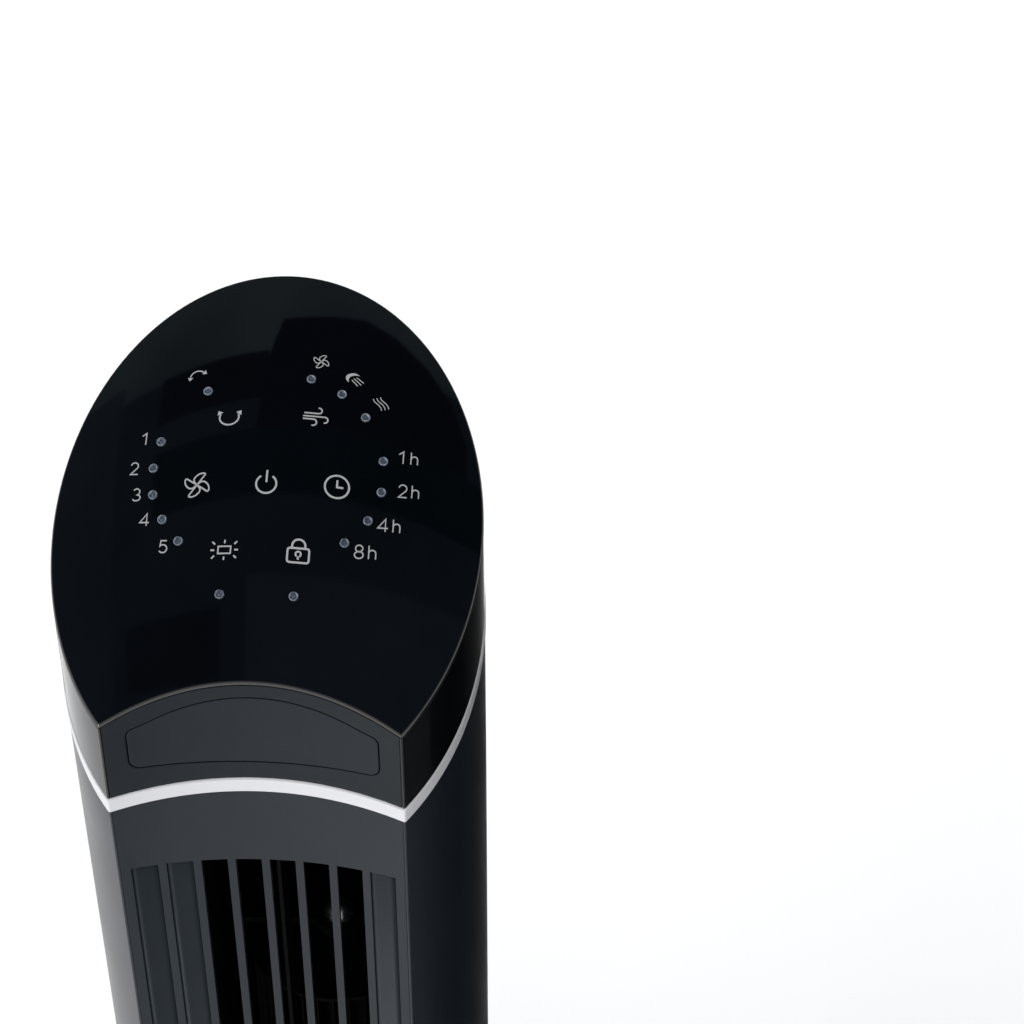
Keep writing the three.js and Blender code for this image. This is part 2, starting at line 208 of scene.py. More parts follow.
def wrap_solid(name, sections, closed):
    """Closed solid from plan curves: sections is a loop of (inset d, height function of x, y)."""
    rows = []
    for d, zf in sections:
        pts = ring(d, "all" if closed else "wrap")
        if not closed and d:
            pts = [behind_lip(x, y) for x, y in pts]
        rows.append([narrow((x, y, zf(x, y))) for x, y in pts])
    n, m = len(rows[0]), len(rows)
    faces = []
    for j in range(m):
        band = band_of(j * n, (j + 1) % m * n, n)
        faces += band if closed else band[:-1]
    if not closed:
        faces.append([j * n for j in range(m)])
        faces.append([j * n + n - 1 for j in reversed(range(m))])
    return new_object(name, [p for r in rows for p in r], faces)


def panel_solid(name, us, vs, mask, outer, inner):
    """Perforated shell: cells of the (u, v) grid where mask is true, between two surfaces."""
    nu, nv = len(us), len(vs)
    verts, faces, index = [], [], {}

    def solid(i, j):
        return 0 <= i < nu - 1 and 0 <= j < nv - 1 and mask(i, j)

    def at(i, j, side):
        k = (i, j, side)
        if k not in index:
            index[k] = len(verts)
            verts.append((outer if side == 0 else inner)(us[i], vs[j]))
        return index[k]

    for i in range(nu - 1):
        for j in range(nv - 1):
            if not solid(i, j):
                continue
            faces.append((at(i, j, 0), at(i + 1, j, 0), at(i + 1, j + 1, 0), at(i, j + 1, 0)))
            faces.append((at(i, j, 1), at(i, j + 1, 1), at(i + 1, j + 1, 1), at(i + 1, j, 1)))
            corners = ((i, j + 1), (i, j), (i + 1, j), (i + 1, j + 1))
            sides = ((-1, 0, 0, 1), (1, 0, 2, 3), (0, -1, 1, 2), (0, 1, 3, 0))
            for di, dj, first, second in sides:
                if not solid(i + di, j + dj):
                    p, q = corners[first], corners[second]
                    faces.append((at(*p, 0), at(*p, 1), at(*q, 1), at(*q, 0)))
    return new_object(name, verts, faces)


def turned(profile, n=96, x=0.0, y=0.0):
    """Points and faces of a solid of revolution from (radius, z) pairs.

    Both ends of the profile are on the axis, or it is a closed loop.
    """
    on_axis = profile[0][0] < 1e-6
    m = len(profile)
    verts, faces = [], []
    for i in range(n):
        c, s = math.cos(2 * math.pi * i / n), math.sin(2 * math.pi * i / n)
        verts += [(x + r * c, y + r * s, z) for r, z in profile]
        here, there = i * m, (i + 1) % n * m
        for j in range(m - 1 if on_axis else m):
            k = (j + 1) % m
            faces.append((here + j, here + k, there + k, there + j))
    return verts, faces


def lathe(name, profile, n=96, x=0.0, y=0.0):
    """Object of revolution from (radius, z) pairs."""
    return new_object(name, *turned(profile, n, x, y))


def joined(name, parts, smooth=True):
    """One object from several (points, faces) pairs."""
    verts, faces = [], []
    for v, f in parts:
        k = len(verts)
        verts += v
        faces += [tuple(i + k for i in face) for face in f]
    return new_object(name, verts, faces, smooth)


def placed(part, origin, axis):
    """Turn a (points, faces) pair built round +Z so that Z follows axis, and move it to origin."""
    q = Vector((0, 0, 1)).rotation_difference(Vector(axis))
    v = [tuple(Vector(origin) + q @ Vector(p)) for p in part[0]]
    return v, part[1]


def block(x0, x1, y0, y1, z0, z1):
    """Points and faces of a box."""
    v = [(x, y, z) for z in (z0, z1) for x, y in ((x0, y0), (x1, y0), (x1, y1), (x0, y1))]
    return v, [(3, 2, 1, 0), (4, 5, 6, 7), (0, 1, 5, 4), (1, 2, 6, 5), (2, 3, 7, 6), (3, 0, 4, 7)]


def carve(o, parts):
    """Cut solids, given as (points, faces) pairs, out of an object for good."""
    cutter = joined("drill", parts)
    m = o.modifiers.new("cut", "BOOLEAN")
    m.object, m.solver, m.operation = cutter, "EXACT", "DIFFERENCE"
    bpy.context.view_layer.update()
    me = bpy.data.meshes.new_from_object(o.evaluated_get(bpy.context.evaluated_depsgraph_get()))
    o.modifiers.clear()
    o.data = me
    bpy.data.objects.remove(cutter)


def crease(o, degrees=30.0):
    """Sharp edges where the faces turn by more than the angle."""
    bm = bmesh.new()
    bm.from_mesh(o.data)
    for f in bm.faces:
        f.smooth = True
    for e in bm.edges:
        e.smooth = len(e.link_faces) != 2 or e.calc_face_angle(0) < math.radians(degrees)
    bm.to_mesh(o.data)
    bm.free()


# ---------------- materials
def noise(nt, coords, scale, detail):
    """Noise texture in object coordinates."""
    n = nt.nodes.new("ShaderNodeTexNoise")
    n.inputs["Scale"].default_value = scale
    n.inputs["Detail"].default_value = detail
    nt.links.new(coords.outputs["Object"], n.inputs["Vector"])
    return n.outputs["Fac"]


def mottled(nt, fac, color, amount):
    """Colour that varies by the amount, as a share, below and above color."""
    r = nt.nodes.new("ShaderNodeValToRGB")
    low, high = r.color_ramp.elements
    low.position, high.position = 0.3, 0.7
    low.color = (*[c * (1 - amount) for c in color], 1)
    high.color = (*[c * (1 + amount) for c in color], 1)
    nt.links.new(fac, r.inputs["Fac"])
    return r.outputs["Color"]


def material(name, color, rough, metal=0.0, specular=0.5, grain=0.0, grain_scale=900.0,
             mottle=0.0, mottle_scale=14.0, rough_vary=0.0):
    """Principled material with procedural grain (bump), slow mottling of the colour and uneven gloss."""
    m = bpy.data.materials.new(name)
    m.use_nodes = True
    nt = m.node_tree
    bsdf = nt.nodes["Principled BSDF"]
    bsdf.inputs["Base Color"].default_value = (*color, 1)
    bsdf.inputs["Roughness"].default_value = rough
    bsdf.inputs["Metallic"].default_value = metal
    bsdf.inputs["Specular IOR Level"].default_value = specular
    coords = nt.nodes.new("ShaderNodeTexCoord")
    if mottle:
        tone = mottled(nt, noise(nt, coords, mottle_scale, 6), color, mottle)
        nt.links.new(tone, bsdf.inputs["Base Color"])
    if rough_vary:
        span = nt.nodes.new("ShaderNodeMapRange")
        span.inputs["From Min"].default_value, span.inputs["From Max"].default_value = 0.3, 0.7
        span.inputs["To Min"].default_value = rough - rough_vary
        span.inputs["To Max"].default_value = rough + rough_vary
        nt.links.new(noise(nt, coords, 22.0, 5), span.inputs["Value"])
        nt.links.new(span.outputs["Result"], bsdf.inputs["Roughness"])
    if grain:
        b = nt.nodes.new("ShaderNodeBump")
        b.inputs["Strength"].default_value = grain
        b.inputs["Distance"].default_value = 0.0002
        nt.links.new(noise(nt, coords, grain_scale, 3), b.inputs["Height"])
        nt.links.new(b.outputs["Normal"], bsdf.inputs["Normal"])
    return m


MOULDED = {"grain": 0.3, "grain_scale": 1600, "mottle": 0.05, "rough_vary": 0.03}
GLASSY = {"rough_vary": 0.015, "mottle": 0.15}
LENS_GRAIN = {"grain": 0.9, "grain_scale": 1300}
INSIDE = {"grain": 0.1, "mottle": 0.1}
GLOSS = material("gloss_black", (0.0009, 0.0012, 0.0020), 0.05, specular=0.5, **GLASSY)
POLISH = material("polished_edge", (0.0009, 0.0012, 0.0020), 0.09, specular=1.0, **GLASSY)
SATIN = material("satin_black", (0.0070, 0.0105, 0.0155), 0.31, specular=0.38,
                 grain=0.12, grain_scale=1400, mottle=0.06, rough_vary=0.03)
MATTE = material("matte_grey", (0.0066, 0.0108, 0.0150), 0.47, specular=0.29, **MOULDED)
HEAD_MATTE = material("head_grey", (0.0028, 0.0056, 0.0090), 0.47, specular=0.24, **MOULDED)
WINDOW = material("window_grey", (0.0028, 0.0058, 0.0108), 0.38, specular=0.24,
                  grain=0.08, grain_scale=1800, mottle=0.04)
TRIM = material("light_trim", (0.50, 0.505, 0.52), 0.28, grain=0.05, mottle=0.02, rough_vary=0.02)
PRINT = material("print_grey", (0.25, 0.255, 0.26), 0.5, specular=0.3, mottle=0.05, mottle_scale=200)
LENS = material("lens_blue_grey", (0.130, 0.154, 0.190), 0.16, specular=0.8,
                mottle=0.55, mottle_scale=1000, **LENS_GRAIN)
CORE = material("lens_core", (0.040, 0.050, 0.066), 0.25, specular=0.6,
                mottle=0.6, mottle_scale=1200, **LENS_GRAIN)
GREY = material("dark_grey_part", (0.05, 0.052, 0.056), 0.5, grain=0.2, mottle=0.05)
STEEL = material("steel", (0.72, 0.72, 0.74), 0.27, metal=1.0,
                 mottle=0.08, mottle_scale=300, rough_vary=0.06)
ZINC = material("zinc", (0.42, 0.43, 0.45), 0.42, metal=1.0, grain=0.2, mottle=0.1, rough_vary=0.05)
RUBBER = material("rubber", (0.008, 0.008, 0.008), 0.85, specular=0.3, grain=0.4, mottle=0.15)
IRON = material("cast_iron", (0.02, 0.02, 0.022), 0.7, metal=0.3, grain=0.8, grain_scale=500, mottle=0.2)
BOARD = material("board", (0.012, 0.07, 0.03), 0.4, mottle=0.15, mottle_scale=60)
AMBER = material("capacitor", (0.3, 0.12, 0.04), 0.4, mottle=0.08)
# inside the column: a near-black colour with very little gloss, far darker than the outer black plastic, is
# painted shade for the dark inside
HOLLOW_PAINTED_SHADE = material("inner_black_painted_shade", (0.0006, 0.0007, 0.0009), 0.6, specular=0.08, **INSIDE)
# the wheel's near-black colour with very little gloss is painted shade too, for the dark inside of the
# column
WHEEL_PAINTED_SHADE = material("wheel_black", (0.0005, 0.0006, 0.0008), 0.7, specular=0.05, **INSIDE)
CAD_LOOK = {
    GREY: ["base_plate", "fixed_gear", "turntable", "motor_bracket"],
    IRON: ["base_weight"],
    ZINC: ["pivot_post", "swing_pinion", "swing_motor", "fan_motor", "wheel_hub"],
    STEEL: ["wheel_shaft"],
    RUBBER: ["cord_gland", "inner_lead"] + ["foot_%d" % i for i in range(1, 6)],
    BOARD: ["touch_board", "display_board", "control_board"],
    AMBER: ["capacitor"],
    # the duct's parts take the painted shade of the inside
    HOLLOW_PAINTED_SHADE: ["duct_floor", "duct_roof", "duct_tongue", "duct_scroll", "air_vane", "intake_screen",
             "bearing_seat"],
    SATIN: ["grip_cup"],
}
SOFT_EDGE = {"cord_gland": 0.4, "grip_cup": 0.5, "turntable": 0.4, "bearing_seat": 0.4, "swing_motor": 0.8,
             "fan_motor": 0.8, "capacitor": 1.0, "base_weight": 0.6, "pivot_post": 0.4}
SOFT_EDGE.update({"foot_%d" % i: 0.35 for i in range(1, 6)})
for look, names in CAD_LOOK.items():
    for n in names:
        NODES[n].data.materials.clear()
        NODES[n].data.materials.append(look)
for n, width in SOFT_EDGE.items():
    edge = NODES[n].modifiers.new("soft_edge", "BEVEL")
    edge.width, edge.segments = width * MM, 2
    edge.limit_method, edge.angle_limit = "ANGLE", math.radians(40)


# ---------------- head
CAP_Y = 12.0  # the panel's loops of points shrink towards x 0, y CAP_Y
SEAM = 0.3  # the head's plates end this far below the panel's edge
LEDS = [  # x, y of the indicators
    (-26.9, 41.5), (-43.6, 22.6), (-45.5, 12.6), (-44.5, 2.5), (-39.7, -7.0), (-32.4, -15.2),
    (-14.3, -33.9), (14.3, -33.9), (14.0, 46.7), (26.7, 41.6), (36.7, 33.4), (44.9, 17.5),
    (45.0, 5.8), (40.6, -5.3), (32.3, -14.3),
]
LED_R, HOLE_R = 1.92, 2.22  # radius of a lens and of its hole
LENS_PROFILE = [  # radius as a share of LED_R, and height: a raised ring round a low core
    (1, -0.35), (0.97, 0.0), (0.9, 0.3), (0.81, 0.34), (0.7, 0.05), (0.57, -0.4), (0.43, -0.45),
    (0.29, -0.3), (0.14, -0.2), (0, -0.18),
]
WEB_SLOPE, WEB_Z = 0.538, 901.0  # slope of the light guide's web and its height at y FY
WEB_X, WEB_Y, WEB_H = 50.0, 5.0, 1.6  # its half width, middle and thickness
WEB_FRONT, WEB_BACK = -36.0, 62.0


def head_low(x, y):
    """Lower edge of the head's plates, just above the band."""
    return tilted(y, BAND_TOP + 0.7)


def cap_low(x, y):
    """Upper edge of the head's plates, under the panel."""
    return dome(x, y, LID + SEAM)


def shrunk(loop, s, d=0.0):
    """A loop of the panel scaled by s towards its middle, on the dome less d."""
    plan = [(x * s, CAP_Y + (y - CAP_Y) * s) for x, y, _ in loop]
    return [(x, y, dome(x, y, d)) for x, y in plan]


def cap_panel():
    """Glossy domed top: a thin rounded edge all round, full thickness inside the head."""
    r_edge, steps, inset = 0.9, 6, PLATE + 0.5
    rows = [(inset, PLATE), (inset, LID), (0.15, LID), (0.0, LID - 0.15)]  # inset, depth
    for k in range(steps + 1):
        a = math.pi / 2 * k / steps
        rows.append((r_edge * (1 - math.cos(a)), r_edge * (1 - math.sin(a))))
    edge = [[(x, y, dome(x, y, depth)) for x, y in ring(d)] for d, depth in rows]
    top = [shrunk(edge[-1], s) for s in (0.985, 0.95, 0.9, 0.82, 0.72, 0.6, 0.47, 0.34, 0.22, 0.11)]
    under = [shrunk(edge[0], s, PLATE) for s in (0.95, 0.8, 0.6, 0.4, 0.2)]
    n, loops = len(edge[0]), edge + top
    tip = len(loops) * n
    verts = [p for loop in loops for p in loop] + [(0, CAP_Y, dome(0, CAP_Y))]
    verts += [p for loop in under for p in loop] + [(0, CAP_Y, dome(0, CAP_Y, PLATE))]
    faces = [f for j in range(len(loops) - 1) for f in band_of(j * n, (j + 1) * n, n)]
    faces += tip_of(tip - n, tip, n)
    starts = [tip + 1 + q * n for q in range(len(under))]
    for a, b in zip(starts, [0] + starts):
        faces += band_of(a, b, n)
    faces += [f[::-1] for f in tip_of(starts[-1], len(verts) - 1, n)]
    return new_object("top_panel_visual", verts, faces)


def dome_normal(x, y):
    """Outward normal of the dome."""
    return Vector((x / RX, (y - YTOP) / RY, 1.0)).normalized()


def on_dome(x, y):
    """Point of the dome."""
    return Vector((x, y, dome(x, y)))


def pierced_panel():
    """The panel with a round hole for each indicator; the dome keeps its true normals round the holes."""
    o = cap_panel()
    drill = turned([(0, -8), (HOLE_R, -8), (HOLE_R, 6), (0, 6)], 32)
    carve(o, [placed(drill, on_dome(x, y), dome_normal(x, y)) for x, y in LEDS])
    crease(o, 25)
    me = o.data
    normals = []
    for poly in me.polygons:
        for k in poly.loop_indices:
            p = me.vertices[me.loops[k].vertex_index].co / MM
            n = dome_normal(p.x, p.y)
            on_top = abs(p.z - dome(p.x, p.y)) < 0.02 and poly.normal.dot(n) > 0.985
            normals.append(tuple(n) if on_top else (0.0, 0.0, 0.0))
    me.normals_split_custom_set(normals)
    return o


panel = finish_piece(pierced_panel(), GLOSS, "tower", ["top_panel"])
panel.data.materials.append(POLISH)  # the rounded edge and the rims of the holes catch more light
for poly in panel.data.polygons:
    p = poly.center / MM
    if abs(p.z - dome(p.x, p.y)) < 0.9 and poly.normal.dot(dome_normal(p.x, p.y)) < 0.985:
        poly.material_index = 1


def web_height(y):
    """Top face of the light guide's web."""
    return WEB_Z + WEB_SLOPE * (y - FY)


def light_guide():
    """A clear web under the panel, with a ringed lens standing in each hole."""
    parts = []
    for x, y in LEDS:
        normal = dome_normal(x, y)
        foot = (web_height(y) - dome(x, y)) * normal.z - 0.4
        profile = [(0, foot), (LED_R, foot)] + [(LED_R * r, z) for r, z in LENS_PROFILE]
        parts.append(placed(turned(profile, 28), on_dome(x, y), normal))
    lean = math.atan(WEB_SLOPE)
    turn = Matrix.Rotation(lean, 4, "X")
    middle = Vector((0, WEB_Y, web_height(WEB_Y)))
    low, high = ((y - WEB_Y) / math.cos(lean) for y in (WEB_FRONT, WEB_BACK))
    points, faces = block(-WEB_X, WEB_X, low, high, -WEB_H, 0)
    parts.append(([tuple(turn @ Vector(v) + middle) for v in points], faces))
    o = joined("light_guide_visual", parts)
    crease(o, 40)
    return o


guide = finish_piece(light_guide(), LENS, "tower", ["light_guide"])
guide.data.materials.append(CORE)
for poly in guide.data.polygons:  # each lens is darker inside its raised ring
    p = poly.center / MM
    away = min(math.dist((p.x, p.y), led) for led in LEDS)
    if away < 0.62 * LED_R and abs(p.z - dome(p.x, p.y)) < 1.0:
        poly.material_index = 1

head_loop = [(0, head_low), (0, cap_low), (INNER, cap_low), (INNER, head_low)]
head_side = wrap_solid("head_side_visual", head_loop, False)
finish_piece(head_side, GLOSS, "tower", ["head_side"], bevel=0.35)


# ---------------- printed marks on the panel
INK_TOP, INK_FOOT = 0.05, -0.06  # the marks stand this proud of the dome and reach this far into it


def bow(cx, cy, r, a0, a1, n=14, ry=None):
    """Points of an arc, angles in degrees; ry is the upright radius where it differs from r."""
    ry = r if ry is None else ry
    turns = [math.radians(a0 + (a1 - a0) * k / n) for k in range(n + 1)]
    return [(cx + r * math.cos(t), cy + ry * math.sin(t)) for t in turns]


def smooth_path(pts):
    """Open Catmull-Rom curve through the points."""
    steps, last, out = 5, len(pts) - 1, []
    for i in range(last):
        four = [pts[max(0, min(last, i + k))] for k in (-1, 0, 1, 2)]
        for j in range(steps):
            t = j / steps
            t2, t3 = t * t, t ** 3
            weights = (2 * t2 - t - t3, 2 - 5 * t2 + 3 * t3, t + 4 * t2 - 3 * t3, t3 - t2)
            out.append(tuple(0.5 * sum(w * p[q] for w, p in zip(weights, four)) for q in (0, 1)))
    return out + [pts[-1]]


class Ink:
    """Collects flat marks as closed slivers, drawn in local mm round a centre on the dome."""

    def __init__(self):
        self.parts = []
        self.turn = 0.0  # turn of the base line in plan, in radians

    def on_panel(self, centre, pts, lift):
        """Local points put on the dome, raised by lift."""
        cx, cy = centre
        kx, ky = math.hypot(1, cx / RX), math.hypot(1, (cy - YTOP) / RY)
        c, s = math.cos(self.turn), math.sin(self.turn)
        plan = [(cx + u / kx * c, cy + v / ky + u / kx * s) for u, v in pts]
        return [(x, y, dome(x, y) + lift) for x, y in plan]

    def fill(self, centre, pts):
        """Filled outline."""
        n = len(pts)
        v = self.on_panel(centre, pts, INK_TOP) + self.on_panel(centre, pts, INK_FOOT)
        f = [tuple(range(n)), tuple(range(2 * n - 1, n - 1, -1))]
        f += [(i, n + i, n + (i + 1) % n, (i + 1) % n) for i in range(n)]
        self.parts.append((v, f))

    def line(self, centre, pts, w, closed=False):
        """Stroke of width w along the points."""
        n = len(pts)
        left, right = [], []
        for i, p in enumerate(pts):
            steps = []
            if i > 0 or closed:
                steps.append((p[0] - pts[i - 1][0], p[1] - pts[i - 1][1]))
            if i < n - 1 or closed:
                q = pts[(i + 1) % n]
                steps.append((q[0] - p[0], q[1] - p[1]))
            units = [(a / math.hypot(a, b), b / math.hypot(a, b)) for a, b in steps]
            tx, ty = sum(u[0] for u in units), sum(u[1] for u in units)
            m = math.hypot(tx, ty)
            tx, ty = tx / m, ty / m
            reach = w / 2 / max(0.45, tx * units[0][0] + ty * units[0][1])  # mitre, limited
            left.append((p[0] - ty * reach, p[1] + tx * reach))
            right.append((p[0] + ty * reach, p[1] - tx * reach))
        v = []
        for side, lift in ((left, INK_TOP), (right, INK_TOP), (right, INK_FOOT), (left, INK_FOOT)):
            v += self.on_panel(centre, side, lift)
        f = []
        for i in range(n if closed else n - 1):
            j = (i + 1) % n
            for a in range(4):
                b = (a + 1) % 4
                f.append((a * n + i, b * n + i, b * n + j, a * n + j))
        if not closed:
            f += [(0, 3 * n, 2 * n, n), (n - 1, 2 * n - 1, 3 * n - 1, 4 * n - 1)]
        self.parts.append((v, f))

    def head(self, centre, tip, angle, size):
        """Filled arrowhead; angle is where it points, in degrees."""
        c, s = math.cos(math.radians(angle)), math.sin(math.radians(angle))
        barbs = ((0, 0), (-size, 0.74 * size), (-size, -0.74 * size))
        self.fill(centre, [(tip[0] + c * a - s * b, tip[1] + s * a + c * b) for a, b in barbs])


GLYPHS = {  # width, then strokes in a box 1 high
    "1": (0.40, [[(0.02, 0.76), (0.36, 1.0), (0.36, 0.0)]]),
    "2": (0.66, [bow(0.33, 0.70, 0.30, 165, -35, 12) + [(0.03, 0.0), (0.66, 0.0)]]),
    "3": (0.66, [bow(0.31, 0.745, 0.27, 150, -80, 12, 0.255) + bow(0.32, 0.255, 0.33, 78, -150, 14, 0.255)]),
    "4": (0.76, [[(0.56, 0.0), (0.56, 1.0), (0.0, 0.27), (0.76, 0.27)]]),
    "5": (0.66, [[(0.60, 1.0), (0.12, 1.0), (0.06, 0.53)] + bow(0.31, 0.33, 0.34, 118, -145, 14, 0.33)]),
    "8": (0.66, [bow(0.33, 0.75, 0.265, 0, 360, 20, 0.25), bow(0.33, 0.26, 0.32, 0, 360, 22, 0.26)]),
    "h": (0.52, [[(0.0, 1.0), (0.0, 0.0)],
                 [(0.0, 0.36)] + bow(0.26, 0.42, 0.25, 165, 0, 10, 0.25) + [(0.51, 0.0)]]),
}
LABELS = [  # text, its centre and height, and the gap between glyphs
    ("1", -50.6, 24.7, 5.0, 0.38), ("2", -53.2, 13.6, 5.1, 0.38), ("3", -51.1, 3.4, 5.1, 0.38),
    ("4", -46.7, -6.3, 5.0, 0.38), ("5", -38.1, -16.7, 4.9, 0.38), ("1h", 54.4, 20.7, 5.2, 0.56),
    ("2h", 55.4, 8.2, 5.3, 0.38), ("4h", 48.8, -5.6, 5.3, 0.38), ("8h", 40.4, -16.3, 5.4, 0.38),
]


def write(ink, centre, text, height, stroke, gap):
    """One line of glyphs round the centre."""
    widths = [GLYPHS[c][0] for c in text]
    x = -(sum(widths) + gap * (len(text) - 1)) / 2
    for c, w in zip(text, widths):
        for path in GLYPHS[c][1]:
            closed = math.dist(path[0], path[-1]) < 1e-6
            pts = [((x + a) * height, (b - 0.5) * height) for a, b in (path[:-1] if closed else path)]
            ink.line(centre, pts, stroke, closed)
        x += w + gap


def fan_mark(ink, centre, size, stroke):
    """Pinwheel of four blades, each with one straight edge and one bowed edge."""
    bowed = smooth_path([(0.55, 0.80), (0.51, 0.90), (0.33, 0.93), (0.04, 0.84), (-0.22, 0.58),
                         (-0.25, 0.33), (-0.12, 0.13), (0.0, 0.0)])
    straight = [(0.55 * k / 6, 0.80 * k / 6) for k in range(1, 6)]
    for q in range(4):
        c, s = size * math.cos(math.radians(90 * q)), size * math.sin(math.radians(90 * q))
        ink.line(centre, [(u * c - v * s, u * s + v * c) for u, v in straight + bowed], stroke, True)


def draw_marks():
    """All printed marks; the last number of a line is its stroke in mm."""
    ink = Ink()
    thin, fine, bold = 0.38, 0.48, 0.76
    # swing range and swing on
    c = (-31.9, 49.0)
    ink.line(c, bow(0.1, -1.3, 3.1, 172, 42), fine)
    ink.head(c, (-3.1, -2.7), 262, 1.5)
    ink.head(c, (3.7, 0.2), -32, 1.5)
    c = (-17.0, 29.8)
    ink.line(c, bow(0, 0.1, 3.85, 155, 385, 26, 3.4), 0.64)
    ink.head(c, (-4.6, 3.1), 122, 1.7)
    ink.head(c, (4.6, 3.1), 58, 1.7)
    # wind
    c = (17.3, 31.0)
    ink.line(c, [(-4.7, 1.5), (0.6, 1.5)] + bow(1.0, 2.75, 1.25, -90, 100), 0.58)
    ink.line(c, [(-5.1, 0.1), (3.1, 0.1)] + bow(3.5, -1.2, 1.3, 90, -100), 0.58)
    ink.line(c, [(-5.1, -1.15), (-1.4, -1.15)] + bow(-1.0, -2.55, 1.4, 90, -110), 0.58)
    fan_mark(ink, (17.2, 54.7), 3.3, 0.36)
    fan_mark(ink, (-27.0, 4.2), 5.3, 0.58)
    # night mode: crescent and three slanted lines
    c = (31.1, 48.9)
    rim = smooth_path([(-2.3, -2.0), (-3.3, -1.0), (-3.6, 0.3), (-2.9, 1.6), (-0.9, 2.5), (0.7, 2.35),
                       (1.9, 1.7)])
    hollow = smooth_path([(1.9, 1.7), (0.5, 1.65), (-0.9, 1.3), (-1.9, 0.6), (-2.35, -0.5), (-2.3, -2.0)])
    ink.fill(c, rim[:-1] + hollow[:-1])
    ink.line(c, [(-1.15, -0.75), (1.35, -3.15)], thin)
    ink.line(c, [(-0.35, 0.05), (2.75, -2.55)], thin)
    ink.line(c, [(0.7, 0.65), (3.7, -1.45)], thin)
    # three slanted waves
    wave = [(-3.3, 1.76), (-2.75, 0.61), (-0.95, -0.69), (-0.05, -1.74), (0.35, -2.94)]
    for k in range(3):
        ink.line((42.3, 40.0), smooth_path([(u + 1.38 * k, v + 0.66 * k) for u, v in wave]), thin)
    # speed steps and timer
    for text, x, y, height, gap in LABELS:
        ink.turn = math.radians(0.15 * x)
        write(ink, (x, y), text, height, fine, gap)
    ink.turn = 0.0
    # power
    c = (0.3, 4.7)
    ink.line(c, bow(0, -0.75, 3.95, 125, 415, 34), bold)
    ink.line(c, [(0, 5.1), (0, -0.1)], bold)
    # timer dial
    c = (27.8, 5.0)
    ink.line(c, bow(0, 0, 4.75, 0, 360, 40)[:-1], bold, True)
    ink.line(c, [(0.0, 2.8), (0.0, -0.2), (2.5, -0.2)], bold)
    # light
    c = (-13.8, -19.3)
    ink.line(c, [(-2.45, -1.45), (2.45, -1.45), (2.45, 1.45), (-2.45, 1.45)], 0.55, True)
    for sx in (-1, 1):
        ink.line(c, [(sx * 3.9, 0), (sx * 5.4, 0)], 0.62)
        ink.line(c, [(0, sx * 2.75), (0, sx * 4.1)], 0.62)
        for sy in (-1, 1):
            ink.line(c, [(sx * 3.75, sy * 2.3), (sx * 4.85, sy * 3.4)], 0.62)
    # child lock
    c = (14.9, -18.9)
    lock = []
    for x, y, a in ((3.2, -3.75, -90), (3.2, 0.05, 0), (-3.2, 0.05, 90), (-3.2, -3.75, 180)):
        lock += bow(x, y, 1.0, a, a + 90, 5)
    ink.line(c, lock, 0.78, True)
    shackle = [(-2.55, 1.05), (-2.55, 2.1), *bow(0, 2.1, 2.55, 175, 5), (2.55, 2.1), (2.55, 1.05)]
    ink.line(c, shackle, 0.78)
    ink.line(c, bow(0, -1.35, 1.05, -60, 240, 16), 0.66)
    ink.line(c, [(0, -2.3), (0, -3.5)], 0.8)
    return ink


finish_piece(joined("panel_marks", draw_marks().parts, smooth=False), PRINT, "tower")


# ---------------- head front plate and display window
WIN_X, WIN_Z0 = 48.4, 874.3  # half width and lower edge of the display window
WIN_TOP, WIN_DROP, WIN_SPAN = 906.4, 14.8, 48.5  # top of its arched edge, and the arch's drop at the span
WIN_GAP = 0.38  # seam between the window and its pocket
POCKET = 2.0  # depth of the pocket


def win_top(x):
    """Arched upper edge of the display window."""
    return WIN_TOP - WIN_DROP * (x / WIN_SPAN) ** 2


def window_outline(m):
    """Rounded outline of the display window in x, z, grown by m."""
    n_arc, n_edge = 8, 24
    r_low, r_high = 4.2 + m, 3.6 + m
    half, low = WIN_X + m, WIN_Z0 - m
    x_low, x_high, x_arch = half - r_low, half - r_high, half - r_high * 1.1
    slope = math.degrees(math.atan(2 * WIN_DROP * x_high / WIN_SPAN ** 2))
    z_high = win_top(x_high) + m - r_high * 0.92
    arch = [x_arch * (1 - 2 * k / n_edge) for k in range(1, n_edge)]
    pts = bow(-x_low, low + r_low, r_low, 180, 270, n_arc)
    pts += [(x_low * (2 * k / n_edge - 1), low) for k in range(1, n_edge)]
    pts += bow(x_low, low + r_low, r_low, 270, 360, n_arc)
    pts += bow(x_high, z_high, r_high, 0, 90 - slope, n_arc)
    pts += [(x, win_top(x) + m) for x in arch]
    return pts + bow(-x_high, z_high, r_high, 90 + slope, 180, n_arc)


def on_front(pts, d):
    """Points in x, z put on the hollow front, moved inward by d."""
    return [(x, front_y(x, d), z) for x, z in pts]


def scaled(pts, s, cz):
    """Points in x, z scaled about x 0 and height cz."""
    return [(x * s, cz + (z - cz) * s) for x, z in pts]


def slab(name, outline, d0, d1):
    """Plate with an x, z outline that follows the hollow front between depths d0 and d1."""
    n = len(outline)
    cz = sum(z for _, z in outline) / n
    scales = (1.0, 0.97, 0.9, 0.75, 0.55, 0.35, 0.15)
    verts, faces = [], []
    for d in (d0, d1):
        start = len(verts)
        for s in scales:
            verts += on_front(scaled(outline, s, cz), d)
        verts.append((0.0, front_y(0.0, d), cz))
        for j in range(len(scales) - 1):
            faces += band_of(start + j * n, start + (j + 1) * n, n)
        faces += tip_of(start + (len(scales) - 1) * n, len(verts) - 1, n)
    faces += band_of(0, len(verts) // 2, n)
    return new_object(name, verts, faces)


window = slab("display_window_visual", window_outline(0.0), 0.05, 1.6)
finish_piece(window, WINDOW, "tower", ["display_window"],
             bevel=0.25, segments=2, angle=50)


